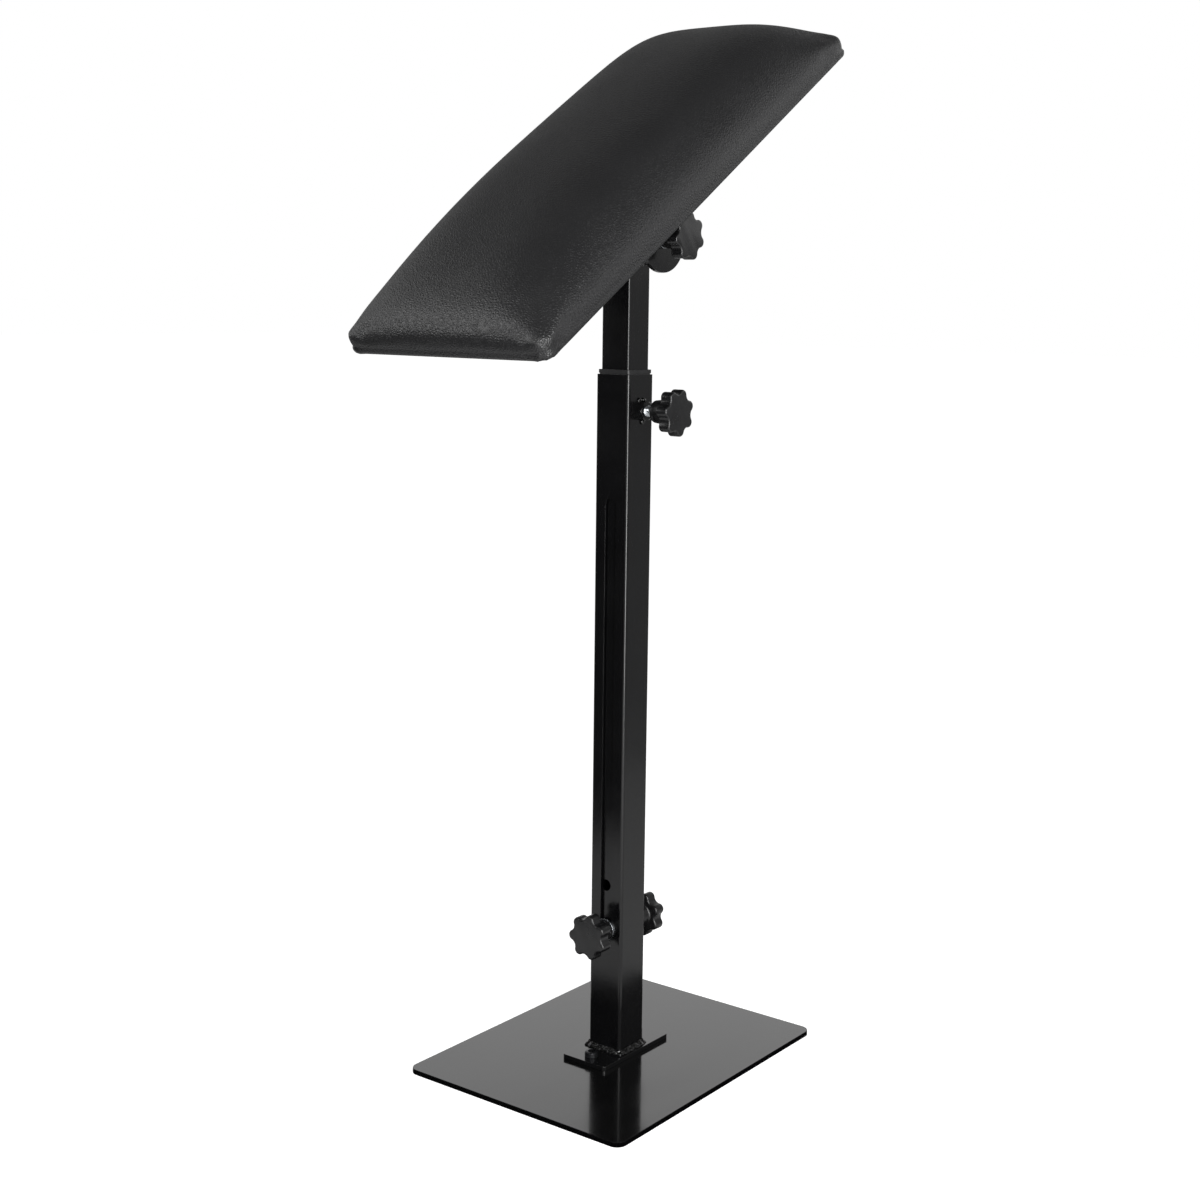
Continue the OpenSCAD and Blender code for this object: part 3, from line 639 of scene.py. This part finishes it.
def threaded(name, length):
    """A screw thread along +Z from 0.

    A sheet is rolled into a tube with a helical ridge, and its ends are filled.
    """
    rows = round(length / THREAD_PITCH * THREAD_STEPS)
    bpy.ops.object.select_all(action="DESELECT")
    bpy.ops.mesh.primitive_grid_add(x_subdivisions=THREAD_SIDES, y_subdivisions=rows, size=2)
    screw = bpy.context.object
    screw.name = screw.data.name = name
    for v in screw.data.vertices:
        along = (v.co.y + 1) / 2 * length
        turn = (v.co.x + 1) / 2
        phase = (along / THREAD_PITCH + turn) % 1
        ridge = min(1, FLANK * (1 - abs(2 * phase - 1)))
        r = THREAD_CORE_R + (THREAD_R - THREAD_CORE_R) * ridge
        end = min(along, length - along)
        r = min(r, THREAD_CORE_R - THREAD_LEAD_IN + end)
        angle = -2 * math.pi * turn
        v.co = (r * math.cos(angle) * MM, r * math.sin(angle) * MM, along * MM)
    edit(screw)
    bpy.ops.mesh.remove_doubles(threshold=0.005 * MM)
    bpy.ops.mesh.select_all(action="DESELECT")
    bpy.ops.mesh.select_non_manifold()
    bpy.ops.mesh.fill_holes(sides=0)
    bpy.ops.mesh.select_all(action="SELECT")
    bpy.ops.mesh.normals_make_consistent(inside=False)
    close_edit()
    smooth(screw, 50)
    return screw


screw = threaded("clamp_screw_threaded", CLAMP_END_X - CLAMP_TIP_X)
clamp_tip = Matrix.Translation((CLAMP_TIP_X * MM, 0, CLAMP_Z))
settle(screw, clamp_tip @ Matrix.Rotation(math.pi / 2, 4, "Y"))
dress(screw, ZINC, body_of("clamp_screw"))
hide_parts("clamp_screw")


# Star knobs

KNOB_R = 17.25
LOBES = 7
LOBE_R = 0.233 * KNOB_R
VALLEY_R = 0.278 * KNOB_R
HEAD_LOW = 12.0
HEAD_T = 10.0
HEAD_EDGE = 1.6
HEAD_EDGE_STEPS = 5
HUB_R = 8.25
HUB_SIDES = 72
BORE_SIDES = 48
FLARE = 1.2
FILLET = 2.0
FILLET_STEPS = 4
LOBE_STEPS = 18
VALLEY_STEPS = 12


def star_points():
    """Outline of lobes and valleys whose arcs run into each other, in millimetres."""
    half_pitch = math.pi / LOBES
    lobe_at = KNOB_R - LOBE_R
    reach = LOBE_R + VALLEY_R
    half = lobe_at * math.cos(half_pitch)
    valley_at = half + math.sqrt(reach ** 2 - lobe_at ** 2 + half ** 2)
    turn = math.atan2(valley_at * math.sin(half_pitch), valley_at * math.cos(half_pitch) - lobe_at)
    points = []
    for i in range(LOBES):
        a = 2 * half_pitch * i
        b = a + half_pitch
        for k in range(LOBE_STEPS):
            t = a - turn + 2 * turn * k / LOBE_STEPS
            points.append((lobe_at * math.cos(a) + LOBE_R * math.cos(t),
                           lobe_at * math.sin(a) + LOBE_R * math.sin(t)))
        start = a + turn + math.pi
        end = a - turn + 2 * half_pitch + math.pi
        for k in range(VALLEY_STEPS):
            t = start + (end - start) * k / VALLEY_STEPS
            points.append((valley_at * math.cos(b) + VALLEY_R * math.cos(t),
                           valley_at * math.sin(b) + VALLEY_R * math.sin(t)))
    return points


def star_knob(name, bore):
    """A star knob along +Z with its hub's end at 0, and a bore of a radius and depth."""
    points = star_points()
    bpy.ops.object.select_all(action="DESELECT")
    bpy.ops.mesh.primitive_circle_add(
        vertices=len(points), radius=KNOB_R * MM, fill_type="NGON")
    knob = bpy.context.object
    knob.name = knob.data.name = name
    for v, (x, y) in zip(knob.data.vertices, points):
        v.co = (x * MM, y * MM, HEAD_LOW * MM)
    edit(knob)
    bpy.ops.mesh.extrude_region_move(TRANSFORM_OT_translate={"value": (0, 0, HEAD_T * MM)})
    bpy.ops.mesh.select_all(action="SELECT")
    bpy.ops.mesh.normals_make_consistent(inside=False)
    close_edit()
    shape(
        knob, "BEVEL", width=HEAD_EDGE * MM, segments=HEAD_EDGE_STEPS, limit_method="ANGLE",
        angle_limit=math.radians(60))
    root = HUB_R + FLARE
    rings = [
        (HUB_R - 1, 0), (HUB_R - 0.3, 0.3), (HUB_R, 1), (HUB_R + 0.12, 2.2),
        (HUB_R + 0.02, 2.5), (HUB_R + 0.2, 2.8), (root, HEAD_LOW - FILLET),
    ]
    for k in range(1, FILLET_STEPS + 1):
        t = math.pi / 2 * k / FILLET_STEPS
        rings.append((root + FILLET * (1 - math.cos(t)),
                      HEAD_LOW - FILLET + FILLET * math.sin(t)))
    rings.append((root + FILLET, HEAD_LOW + 2))
    combine(knob, turned("hub", rings, HUB_SIDES), "UNION")
    bore_r, bore_depth = bore
    drill = turned("bore", [(bore_r, -1), (bore_r, bore_depth)], BORE_SIDES)
    combine(knob, drill, "DIFFERENCE")
    smooth(knob, 32)
    return knob


HUB_GAP = 0.1
LOWER_WASHER_T = 1.2
LOWER_HUB = OUTER / 2 + (LOWER_WASHER_T + HUB_GAP) * MM
CLAMP_HUB = 28.4 * MM
TILT_HUB = 34.8 * MM
ALONG_X = Matrix.Rotation(math.pi / 2, 4, "Y") @ Matrix.Rotation(math.pi / 2, 4, "Z")
INSERT_BORE = (6.05, 12.05)
SCREW_BORE = (4.05, 13.05)
TO_FRONT = Matrix.Rotation(math.pi / 2, 4, "X")
TO_REAR = Matrix.Rotation(-math.pi / 2, 4, "X")
# Each knob with its bore, its hub's place, the way it faces and its turn in degrees
KNOBS = [
    ("lower_knob_front", INSERT_BORE, (0, -LOWER_HUB, ROD_Z), TO_FRONT, 30),
    ("lower_knob_rear", INSERT_BORE, (0, LOWER_HUB, ROD_Z), TO_REAR, -23),
    ("clamp_knob", SCREW_BORE, (CLAMP_HUB, 0, CLAMP_Z), ALONG_X, 20),
    ("tilt_knob", INSERT_BORE, (TILT_HUB, 0, AXIS_Z), ALONG_X, 36),
]
blanks = {bore: star_knob("knob_blank", bore) for bore in (INSERT_BORE, SCREW_BORE)}
for node, bore, hub, facing, turn in KNOBS:
    knob = bpy.data.objects.new(node + "_moulded", blanks[bore].data.copy())
    bpy.context.scene.collection.objects.link(knob)
    settle(knob, Matrix.Translation(hub) @ facing @ turn_z(turn))
    dress(knob, NYLON, body_of(node))
    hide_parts(node)
for blank in blanks.values():
    bpy.data.objects.remove(blank)


# Pad

PAD_CORNER = 14.0 * MM
CORNER_POWER = 2.7
SIDE_H = 14.0 * MM
CROWN_H = 43.0 * MM
SIDE_POWER = 3.8
LOW_END = (2.4, 0.58)
HIGH_END = (6.0, 0.95)
SIDE_LEAN = [(0, 1.5), (1.6, 1.1), (7, 0.3), (14, 0)]  # height and draw, in millimetres
FOOT = 5.0 * MM
FOOT_POWER = 5
NEARLY_NONE = 0.0001
RIM_STEEP = 3 * MM
RIM_BLEND = 10 * MM
PAD_VOXEL = 4.0 * MM
SWELL_CAP = 2.5 * MM
SWELL_FRAMES = 20
HELD_BELOW = 6 * MM
BOARD_RISE = 2 * MM


def crown(x, y):
    """Height of the padded top over the underside: it slopes more gently to the low end."""
    power, bend = LOW_END if y < 0 else HIGH_END
    across = 1 - min(abs(x) / (PAD_W / 2), 1) ** SIDE_POWER
    along = max(1 - min(abs(y) / (PAD_L / 2), 1) ** power, 0) ** bend
    return SIDE_H + CROWN_H * across * along


def edge_of(x, y):
    """How far a place lies inside the pad's plan outline, and the way out to it."""
    from_x = abs(x) - (PAD_W / 2 - PAD_CORNER)
    from_y = abs(y) - (PAD_L / 2 - PAD_CORNER)
    if from_x > 0 and from_y > 0:
        reach = (from_x ** CORNER_POWER + from_y ** CORNER_POWER) ** (1 / CORNER_POWER)
        inside = PAD_CORNER - reach
        out = Vector((from_x ** (CORNER_POWER - 1), from_y ** (CORNER_POWER - 1))).normalized()
    else:
        inside = PAD_CORNER - max(from_x, from_y)
        out = Vector((1, 0)) if from_x > from_y else Vector((0, 1))
    return inside, Vector((math.copysign(out.x, x), math.copysign(out.y, y), 0))


def square_corners(piece):
    """Fills the rounded plan corners out, as foam under a taut cover does."""
    for v in piece.data.vertices:
        mid_x = math.copysign(PAD_W / 2 - PAD_CORNER, v.co.x)
        mid_y = math.copysign(PAD_L / 2 - PAD_CORNER, v.co.y - PAD_SHIFT) + PAD_SHIFT
        from_x = abs(v.co.x) - abs(mid_x)
        from_y = abs(v.co.y - PAD_SHIFT) - abs(mid_y - PAD_SHIFT)
        if from_x > 0 and from_y > 0:
            reach = (from_x ** CORNER_POWER + from_y ** CORNER_POWER) ** (1 / CORNER_POWER)
            grow = math.hypot(from_x, from_y) / reach
            v.co.x = mid_x + (v.co.x - mid_x) * grow
            v.co.y = mid_y + (v.co.y - mid_y) * grow


def lean(height):
    """How far the side is drawn in at a height over the underside."""
    for (low, a), (high, b) in zip(SIDE_LEAN, SIDE_LEAN[1:]):
        if height <= high * MM:
            share = max(height / MM - low, 0) / (high - low)
            return (a + (b - a) * share) * MM
    return SIDE_LEAN[-1][1] * MM


def cushion():
    """The padded cover, with its edge folded under the board.

    Its crown is drawn true and then swollen by a cloth simulation.
    """
    piece = copy_of("pad_cover", "pad_cushion")
    settle(piece, PAD_PLACE.inverted())
    edit(piece)
    bpy.ops.mesh.convex_hull(
        delete_unused=True, use_existing_faces=False, make_holes=False, join_triangles=False)
    close_edit()
    shape(piece, "REMESH", mode="VOXEL", voxel_size=PAD_VOXEL)
    shape(piece, "SMOOTH", factor=0.5, iterations=2)
    square_corners(piece)
    for v in piece.data.vertices:
        y = v.co.y - PAD_SHIFT
        inside, _ = edge_of(v.co.x, y)
        if v.co.z - PAD_OFFSET > SIDE_H:
            trust = min(max((inside - RIM_STEEP) / RIM_BLEND, 0), 1)
            v.co.z += (PAD_OFFSET + crown(v.co.x, y) - v.co.z) * trust
    shape(piece, "SMOOTH", factor=0.5, iterations=2)
    swell(piece, SWELL_CAP)
    shape(piece, "SUBSURF", levels=1, render_levels=1)
    square_foot(piece)
    fold_under(piece)
    smooth(piece, 180)
    settle(piece, PAD_PLACE)
    dress(piece, LEATHER, "arm_rest")
    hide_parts("pad_cover", "pad_foam")
    return piece


def swell(piece, cap):
    """Blows the cover up over its foam and keeps each point within a distance of its start."""
    start = [v.co.copy() for v in piece.data.vertices]
    held = piece.vertex_groups.new(name="held")
    low = [v.index for v in piece.data.vertices if v.co.z < PAD_OFFSET + HELD_BELOW]
    held.add(low, 1.0, "REPLACE")
    take(piece)
    cloth = piece.modifiers.new("swell", "CLOTH")
    cloth.settings.quality = 6
    cloth.settings.mass = 0.4
    cloth.settings.tension_stiffness = 12
    cloth.settings.compression_stiffness = 12
    cloth.settings.bending_stiffness = 1.5
    cloth.settings.use_pressure = True
    cloth.settings.uniform_pressure_force = 4
    cloth.settings.vertex_group_mass = "held"
    cloth.settings.effector_weights.gravity = 0
    cloth.collision_settings.use_collision = False
    scene = bpy.context.scene
    for step in range(1, SWELL_FRAMES + 1):
        scene.frame_set(step)
    bpy.ops.object.modifier_apply(modifier=cloth.name)
    scene.frame_set(1)
    for v, was in zip(piece.data.vertices, start):
        moved = v.co - was
        if moved.length > cap:
            v.co = was + moved * (cap / moved.length)
    piece.vertex_groups.clear()


def square_foot(piece):
    """Draws the cover tight round the board's lower edge."""
    for v in piece.data.vertices:
        inside, out = edge_of(v.co.x, v.co.y - PAD_SHIFT)
        height = max(v.co.z - PAD_OFFSET, 0)
        if inside < FOOT and height < FOOT:
            room = FOOT - lean(height)
            a = max((FOOT - inside) / room, NEARLY_NONE)
            b = max((FOOT - height) / FOOT, NEARLY_NONE)
            size = (a ** FOOT_POWER + b ** FOOT_POWER) ** (1 / FOOT_POWER)
            v.co += out * (a / size - a) * room
            v.co.z = PAD_OFFSET + FOOT * (1 - b / size)


def fold_under(piece):
    """Lays the folded edge flat under the board and sets the middle back, where the board shows."""
    for v in piece.data.vertices:
        inside, _ = edge_of(v.co.x, v.co.y - PAD_SHIFT)
        if v.co.z < PAD_OFFSET + FOOT and inside > FOOT:
            v.co.z = PAD_OFFSET
            if inside > FOLD_W:
                v.co.z = PAD_OFFSET + COVER_T + BOARD_RISE


cushion()


# Dust cloth over the folded edge of the cover, and its staples

CLOTH_W = 150.7 * MM
CLOTH_L = 389.7 * MM
CLOTH_T = 0.6 * MM
OPENING_W = 69.4 * MM
OPENING_L = 188.9 * MM
RIM_Z = 32.4 * MM
MIDDLE_Z = 33.6 * MM
PLATE_HALF_W = 50 * MM
PLATE_HALF_L = 70 * MM
STEP_W = 2.5 * MM
STEP_START = 0.2
SAG_START = 9 * MM
SAG = 0.35 * MM
WAVE_X = 26 * MM
WAVE_Y = 17 * MM
WAVE_SLICE = 4.7
CLOTH_GRID = (75, 130)


def cloth_height(x, y):
    """Height of the cloth's underside.

    It lies on the fold at its rim, and is pulled up against the board and the plate inside.
    """
    inside = min(OPENING_W - abs(x), OPENING_L - abs(y))
    up = min(max(inside / STEP_W + STEP_START, 0), 1)
    up = up * up * (3 - 2 * up)
    past_plate = max(abs(x) - PLATE_HALF_W, abs(y) - PLATE_HALF_L)
    free = min(max(past_plate / SAG_START, 0), 1)
    wave = noise.noise(Vector((x / WAVE_X, y / WAVE_Y, WAVE_SLICE)))
    return RIM_Z + (MIDDLE_Z - RIM_Z) * up - free * up * SAG * (1 + wave)


def dust_cover():
    """The dust cloth, stapled flat under the pad."""
    bpy.ops.object.select_all(action="DESELECT")
    across, along = CLOTH_GRID
    bpy.ops.mesh.primitive_grid_add(x_subdivisions=across, y_subdivisions=along, size=2)
    piece = bpy.context.object
    piece.name = piece.data.name = "pad_dust_cover"
    for v in piece.data.vertices:
        x = v.co.x * CLOTH_W / 2
        y = v.co.y * CLOTH_L / 2
        v.co = (x, y + PAD_SHIFT, cloth_height(x, y))
    shape(piece, "SOLIDIFY", thickness=CLOTH_T, offset=1)
    smooth(piece, 60)
    settle(piece, PAD_PLACE)
    dress(piece, CLOTH, "arm_rest")
    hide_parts("pad_dust_cloth")


dust_cover()

STAPLE_W = 10.0
STAPLE_WIRE = 0.9
STAPLE_T = 0.5
STAPLE_LEG = 1.4
STAPLE_EDGE = 0.14
STAPLE_INSET = 3.2 * MM
STAPLE_DRIFT = 1.2 * MM
STAPLE_TURN = 9
DRIFT_ROWS = (3.3, 7.7, 12.1)
STAPLES_LONG = 14
STAPLES_SHORT = 5


def staple():
    """A staple along X with its crown under 0 and its legs going up."""
    bpy.ops.object.select_all(action="DESELECT")
    bpy.ops.mesh.primitive_cube_add(size=1)
    wire = bpy.context.object
    for v in wire.data.vertices:
        v.co.x *= STAPLE_W * MM
        v.co.y *= STAPLE_WIRE * MM
        v.co.z = (v.co.z - 0.5) * STAPLE_T * MM
    edit(wire)
    bpy.ops.mesh.select_mode(type="EDGE")
    bpy.ops.mesh.select_all(action="DESELECT")
    close_edit()
    for edge in wire.data.edges:
        a, b = (wire.data.vertices[i].co for i in edge.vertices)
        edge.select = abs(a.x - b.x) > STAPLE_W / 2 * MM
    bpy.ops.object.mode_set(mode="EDIT")
    bpy.ops.mesh.subdivide(number_cuts=2)
    close_edit()
    leg_from = STAPLE_W / 2 - STAPLE_T
    third = STAPLE_W / 6
    for v in wire.data.vertices:
        if abs(v.co.x) < STAPLE_W / 4 * MM:
            v.co.x *= leg_from / third
    pick_faces(wire, lambda middle, normal: normal.z > 0.9 and abs(middle.x) > leg_from * MM)
    bpy.ops.mesh.extrude_region_move(TRANSFORM_OT_translate={"value": (0, 0, STAPLE_LEG * MM)})
    close_edit()
    shape(wire, "BEVEL", width=STAPLE_EDGE * MM, segments=2, limit_method="ANGLE")
    smooth(wire, 60)
    return wire


def staple_places():
    """Places round the rim, each a few degrees and a little off, as from a hand-held gun."""
    places = []
    half_w = CLOTH_W / 2 - STAPLE_INSET
    half_l = CLOTH_L / 2 - STAPLE_INSET
    for side in (-1, 1):
        for k in range(STAPLES_LONG):
            y = (2 * (k + 0.5) / STAPLES_LONG - 1) * half_l
            places.append((side * half_w, y, 90))
        for k in range(STAPLES_SHORT):
            x = (2 * (k + 0.5) / STAPLES_SHORT - 1) * half_w
            places.append((x, side * half_l, 0))
    result = []
    for k, (x, y, turn) in enumerate(places):
        drift = Vector([noise.noise(Vector((k * 1.7, row, 9.1))) for row in DRIFT_ROWS])
        spot = (x + drift.x * STAPLE_DRIFT, y + PAD_SHIFT + drift.y * STAPLE_DRIFT, RIM_Z)
        turned_by = turn_z(turn + STAPLE_TURN * drift.z)
        result.append(PAD_PLACE @ Matrix.Translation(spot) @ turned_by)
    return result


staples = copies(staple(), "cover_staples", staple_places())
dress(staples, ZINC, "arm_rest")


# Floor, world and lamps

FLOOR_SIZE = 40
FLOOR_LIFT = 0.7  # with its own light it is white to the camera, but for the object's shadow


def make_floor():
    """A pale matt floor that keeps the object's shadow."""
    bpy.ops.object.select_all(action="DESELECT")
    bpy.ops.mesh.primitive_plane_add(size=FLOOR_SIZE, location=(0, 0, 0))
    floor = bpy.context.object
    floor.name = "floor"
    material = bpy.data.materials.new("white_studio_floor")
    material.use_nodes = True
    tree = material.node_tree
    tree.nodes.clear()
    path = add(tree, "ShaderNodeLightPath").outputs
    lift = add(tree, "ShaderNodeMath", {0: path["Is Camera Ray"], 1: FLOOR_LIFT},
               operation="MULTIPLY")
    matte = add(tree, "ShaderNodeBsdfDiffuse", {"Color": colour("#e6e6e6")})
    glow = add(tree, "ShaderNodeEmission", {"Strength": lift.outputs[0]})
    both = add(tree, "ShaderNodeAddShader", {0: matte.outputs[0], 1: glow.outputs[0]})
    add(tree, "ShaderNodeOutputMaterial", {"Surface": both.outputs[0]})
    floor.data.materials.append(material)


def make_world():
    """White to the camera on every side.

    Glossy faces see white round the horizon and dark grey overhead.
    """
    world = bpy.data.worlds.new("studio")
    bpy.context.scene.world = world
    world.use_nodes = True
    tree = world.node_tree
    tree.nodes.clear()
    path = add(tree, "ShaderNodeLightPath").outputs
    direction = add(tree, "ShaderNodeTexCoord").outputs["Generated"]
    height = add(tree, "ShaderNodeSeparateXYZ", {0: direction}).outputs["Z"]
    seen = spread(tree, height, 1.0, 0.14, 0.48, 0.68)
    rays = {0: path["Is Glossy Ray"], 1: path["Is Transmission Ray"]}
    glossy = add(tree, "ShaderNodeMath", rays, operation="MAXIMUM").outputs[0]
    plain = spread(tree, height, 0.75, 0.30, 0.0, 0.9)
    level = add(tree, "ShaderNodeMix", {"Factor": glossy, 2: plain, 3: seen}).outputs[0]
    to_camera = {"Factor": path["Is Camera Ray"], 2: level, 3: 1.0}
    level = add(tree, "ShaderNodeMix", to_camera).outputs[0]
    sky = add(tree, "ShaderNodeBackground", {"Color": (1, 1, 1, 1), "Strength": level})
    add(tree, "ShaderNodeOutputWorld", {"Surface": sky.outputs[0]})


def lamp(name, at, aim, size, radiance):
    """A soft lamp of a width and height in metres, aimed at a point."""
    light = bpy.data.lights.new(name, "AREA")
    light.shape = "RECTANGLE"
    light.size, light.size_y = size
    light.energy = radiance * math.pi * size[0] * size[1]
    made = bpy.data.objects.new(name, light)
    made.location = at
    made.rotation_mode = "QUATERNION"
    made.rotation_quaternion = (Vector(aim) - Vector(at)).to_track_quat("-Z", "Y")
    bpy.context.scene.collection.objects.link(made)
    return made


def keep_off(light, piece):
    """Keeps a lamp's mirror image out of a piece."""
    unlit = bpy.data.collections.new(light.name + "_keeps_off")
    unlit.objects.link(piece)
    light.light_linking.receiver_collection = unlit
    for member in unlit.collection_objects:
        member.light_linking.link_state = "EXCLUDE"


def flag(name, at, along, width, height, shade):
    """A dark or grey board, square to a direction, that only glossy faces see."""
    bpy.ops.object.select_all(action="DESELECT")
    bpy.ops.mesh.primitive_plane_add(size=1)
    board = bpy.context.object
    board.name = name
    turn = Vector(along).to_track_quat("Z", "Y").to_matrix().to_4x4()
    board.matrix_world = Matrix.Translation(at) @ turn @ Matrix.Diagonal((width, height, 1, 1))
    material = bpy.data.materials.new(name + "_board")
    material.use_nodes = True
    tree = material.node_tree
    tree.nodes.clear()
    glow = add(tree, "ShaderNodeEmission", {"Color": (1, 1, 1, 1), "Strength": shade})
    add(tree, "ShaderNodeOutputMaterial", {"Surface": glow.outputs[0]})
    board.data.materials.append(material)
    board.visible_camera = False
    board.visible_diffuse = False
    board.visible_shadow = False


make_floor()
make_world()
# Lamps: place, aim, width and height, radiance. Flags: place, facing, width, height, shade
side_softbox = lamp("side_softbox", (0.92, -0.67, 0.64), (0, 0, 0.58), (0.34, 1.22), 12.0)
lamp("front_left_softbox", (-0.72, -1.12, 0.86), (0, -0.15, 0.6), (0.8, 0.32), 5.0)
lamp("small_front_lamp", (-0.35, -1.15, 1.25), (0, 0, 0.2), (0.14, 0.14), 24.0)
flag("left_flag", (-0.34, -0.47, 0.32), (-0.59, -0.81, 0), 0.8, 0.64, 0.03)
flag("right_flag", (0.53, 0.73, 0.33), (0.59, 0.81, 0), 1.2, 0.66, 0.28)
flag("back_left_flag", (-0.78, 0.66, 1.08), (-0.76, 0.65, 0), 1.3, 0.86, 0.24)
# Board round the base that only reflections see: painted shade in place of the contact shadow that
# darkens the base's glossy sides
flag("painted_shade_round_base", (0, 0, 0.0002), (0, 0, 1), 0.236, 0.286, 0.01)
keep_off(side_softbox, base_plate)
